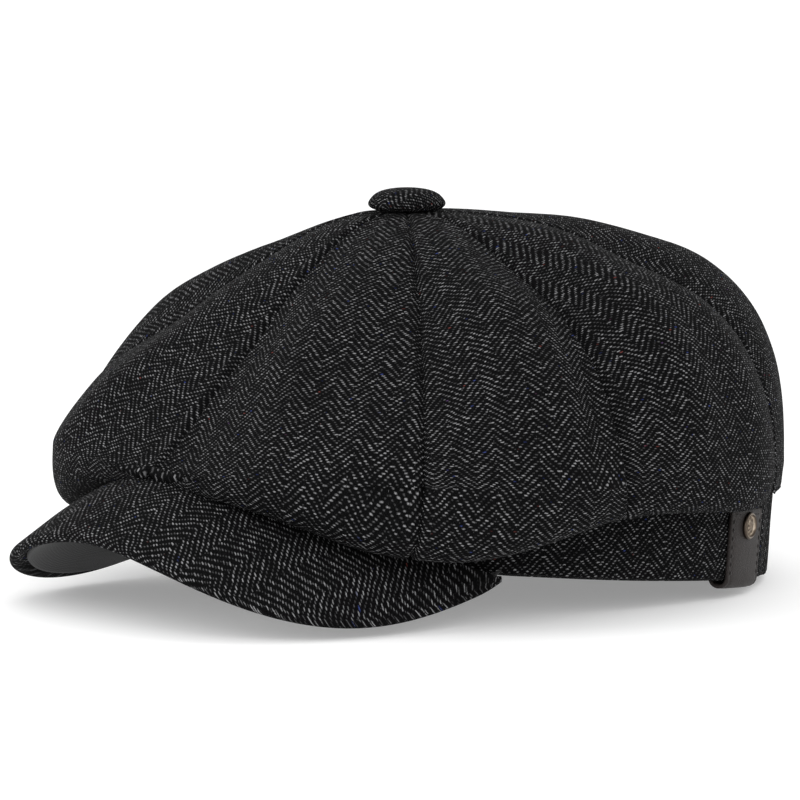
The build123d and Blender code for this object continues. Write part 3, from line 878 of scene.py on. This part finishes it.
def tab_stitches(side, name, thread):
    half_turn = (TAB_WIDTH / 2 - 1.5) / band_speed(TAB_ANGLE)
    inset = -0.35 - LEATHER + 0.12
    pitch, length = 2.6, 1.9
    places = []
    for edge in (-1, 1):
        angle = side * (TAB_ANGLE + edge * half_turn)
        for low in np.arange(1.2, TAB_HEIGHT - 2.4, pitch):
            places.append((rim_point(angle, inset, low), rim_point(angle, inset, low + length),
                           outward(angle)))
    turn = half_turn / 9
    height = TAB_HEIGHT - 1.6
    for i in np.arange(-8.4, 8.0, 2.1):
        first, last = side * (TAB_ANGLE + i * turn), side * (TAB_ANGLE + (i + 1.5) * turn)
        places.append((rim_point(first, inset, height), rim_point(last, inset, height), outward(first)))
    obj = stitches(name, places, thread, 0.3)
    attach(obj, "crown_and_band")


def rivet_axes(side):
    """Centre of the rivet on the leather, and its out, side and up directions."""
    out = outward(side * TAB_ANGLE)
    up = np.array([0, 0, 1.0])
    seat = rim_point(side * TAB_ANGLE, -0.35 - LEATHER, RIVET_HEIGHT)
    return seat, out, np.cross(up, out), up


def make_rivet(side, name, metal):
    """A domed cap with a rolled edge and a plain pattern of eight petals in its dished middle."""
    seat, out, aside, up = rivet_axes(side)
    share = np.linspace(0, 1, 30)[:, None]
    turn = np.linspace(0, 2 * np.pi, 73)[:-1][None, :]
    radius = RIVET_RADIUS * share
    dish = 0.9 + 0.55 * np.cos(np.pi * share / 0.66) * (share < 0.66) - 0.55 * (share >= 0.66)
    rolled = 1.05 * np.sqrt(np.maximum(1 - ((share - 0.86) / 0.14) ** 2, 0)) * (share > 0.72)
    petals = 0.2 * np.cos(8 * turn) * bell(radius - 2.1, 0.7)
    bead = 0.22 * bell(radius, 0.7)
    height = np.maximum(dish, 0.35) * (share < 0.8) + rolled + petals + bead
    height = np.where(share >= 0.999, -0.1, height)
    points = seat + out * height[..., None] + radius[..., None] * (
        np.cos(turn)[..., None] * aside + np.sin(turn)[..., None] * up)
    faces = [list(f) for f in grid_faces(30, 72, wrap=True)]
    faces.append(list(range(29 * 72, 30 * 72)))
    obj = make_object(name, points.reshape(-1, 3), faces, metal)
    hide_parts("rivet_caps")
    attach(obj, "crown_and_band")


# The covered button

def make_button(tweed):
    profile = np.array([(0.0, 1.0), (0.25, 0.985), (0.5, 0.93), (0.7, 0.84), (0.85, 0.70), (0.95, 0.52),
                        (1.0, 0.34), (0.97, 0.18), (0.88, 0.07), (0.75, 0.0), (0.62, -0.03)])
    length = np.concatenate([[0], np.cumsum(np.linalg.norm(np.diff(profile, axis=0), axis=1))])
    fine = np.linspace(0, length[-1], 50)
    reach = np.interp(fine, length, profile[:, 0])
    rise = np.interp(fine, length, profile[:, 1])
    for _ in range(6):
        reach[1:-1] = (reach[:-2] + 2 * reach[1:-1] + reach[2:]) / 4
        rise[1:-1] = (rise[:-2] + 2 * rise[1:-1] + rise[2:]) / 4
    rise[0] = rise[1]
    turn = np.linspace(0, 2 * np.pi, 161)
    gather = 0.03 * ease(fine, 1.05, 1.5)[:, None] * np.sin(22 * turn)[None, :]
    radius = BUTTON_RADIUS * (reach[:, None] + gather)
    radius[0] = 0.02
    height = CROWN_TOP + 0.2 + BUTTON_HEIGHT * rise[:, None]
    grid = level(stack(radius * np.cos(turn), TOP_Y + radius * np.sin(turn), height))
    flat = np.stack([np.cos(turn)[None, :] * fine[:, None], np.sin(turn)[None, :] * fine[:, None]], -1)
    points = grid[:, :-1].reshape(-1, 3)
    faces = [list(f)[::-1] for f in grid_faces(50, 160, wrap=True)]
    faces.append(list(range(160)))
    faces.append(list(range(49 * 160, 50 * 160))[::-1])
    obj = make_object("button_cover_cloth", points, faces, tweed,
                      flat[:, :-1].reshape(-1, 2) * BUTTON_RADIUS + [2.8, 0])
    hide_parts("button_cover")
    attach(obj, "crown_and_band")


# Floor, light and camera

def make_studio():
    n = Nodes("pale_floor")
    floor_material = n.finish((0.8, 0.8, 0.8, 1), 0.9, Emission_Color=(1, 1, 1, 1), Emission_Strength=0.27)
    mesh = bpy.data.meshes.new("floor")
    mesh.from_pydata([(-6, -6, 0), (6, -6, 0), (6, 6, 0), (-6, 6, 0)], [], [(0, 1, 2, 3)])
    mesh.materials.append(floor_material)
    floor = bpy.data.objects.new("floor", mesh)
    bpy.context.scene.collection.objects.link(floor)
    world = bpy.data.worlds.new("studio")
    world.use_nodes = True
    world.node_tree.nodes["Background"].inputs["Color"].default_value = (1, 1, 1, 1)
    world.node_tree.nodes["Background"].inputs["Strength"].default_value = 1.0
    bpy.context.scene.world = world
    lights = (("key", (1.3, -0.9, 0.9), 1.1, 14), ("left", (-0.6, -1.6, 0.8), 1.0, 8))
    for name, place, size, power in lights:
        data = bpy.data.lights.new(name, "AREA")
        data.size = size
        data.energy = power
        lamp = bpy.data.objects.new(name, data)
        lamp.location = place
        lamp.rotation_euler = (Vector((0, 0, 0.05)) - Vector(place)).to_track_quat("-Z", "Y").to_euler()
        bpy.context.scene.collection.objects.link(lamp)


def make_camera():
    target = Vector(to_world(LOOK_AT))
    azimuth, elevation = math.radians(VIEW_AZIMUTH), math.radians(VIEW_ELEVATION)
    back = Vector((math.sin(azimuth) * math.cos(elevation), -math.cos(azimuth) * math.cos(elevation),
                   math.sin(elevation)))
    data = bpy.data.cameras.new("camera")
    data.lens = VIEW_LENS
    camera = bpy.data.objects.new("camera", data)
    camera.location = target + back * VIEW_DISTANCE
    camera.rotation_euler = (-back).to_track_quat("-Z", "Y").to_euler()
    bpy.context.scene.collection.objects.link(camera)
    bpy.context.scene.camera = camera
    bpy.context.scene.view_settings.view_transform = "Standard"


def paint_nodes():
    """Better materials for the CAD nodes that stay."""
    steel = antique_metal_material("button_steel", (0.25, 0.25, 0.25, 1), (0.55, 0.55, 0.55, 1))
    brass = antique_metal_material("burr_brass", (0.12, 0.09, 0.05, 1), (0.4, 0.31, 0.18, 1))
    finishes = {"button_shell": steel, "button_back": steel,
                "button_washer": steel, "rivet_burrs": brass}
    for name, material in finishes.items():
        for place in frame["nodes"][name].material_slots:
            place.material = material


def build():
    tweed = tweed_material("herringbone_tweed", 6.2)
    peak_tweed = tweed_material("herringbone_tweed_peak", 8.5, 1.15)
    under = plain_cloth_material("peak_under_cloth", (0.018, 0.018, 0.019), 1.6)
    satin = plain_cloth_material("lining_satin", (0.020, 0.020, 0.023), 0.35, 0.2, 0.38)
    sweat = plain_cloth_material("sweatband_cotton", (0.015, 0.015, 0.016), 0.8)
    elastic = plain_cloth_material("woven_elastic", (0.35, 0.35, 0.33), 0.9)
    buckram = sheet_material("buckram", (0.5, 0.48, 0.43), 0.8, 0.8)
    board = sheet_material("peak_board", (0.05, 0.05, 0.05), 0.5, 0.6)
    leather = leather_material("brown_leather")
    thread = plain_cloth_material("leather_thread", (0.016, 0.013, 0.012), 0.3)
    bronze = antique_metal_material("antique_bronze", (0.09, 0.07, 0.055, 1), (0.50, 0.42, 0.33, 1))
    make_crown(tweed)
    make_button(tweed)
    make_band(tweed, sweat, elastic, buckram)
    make_lining(satin)
    make_peak(peak_tweed, under, board)
    for side, name in ((1, "left"), (-1, "right")):
        make_tab(side, "leather_tab_" + name, leather)
        tab_stitches(side, "tab_stitches_" + name, thread)
        make_rivet(side, "rivet_cap_" + name, bronze)
    paint_nodes()
    make_studio()
    make_camera()


build()
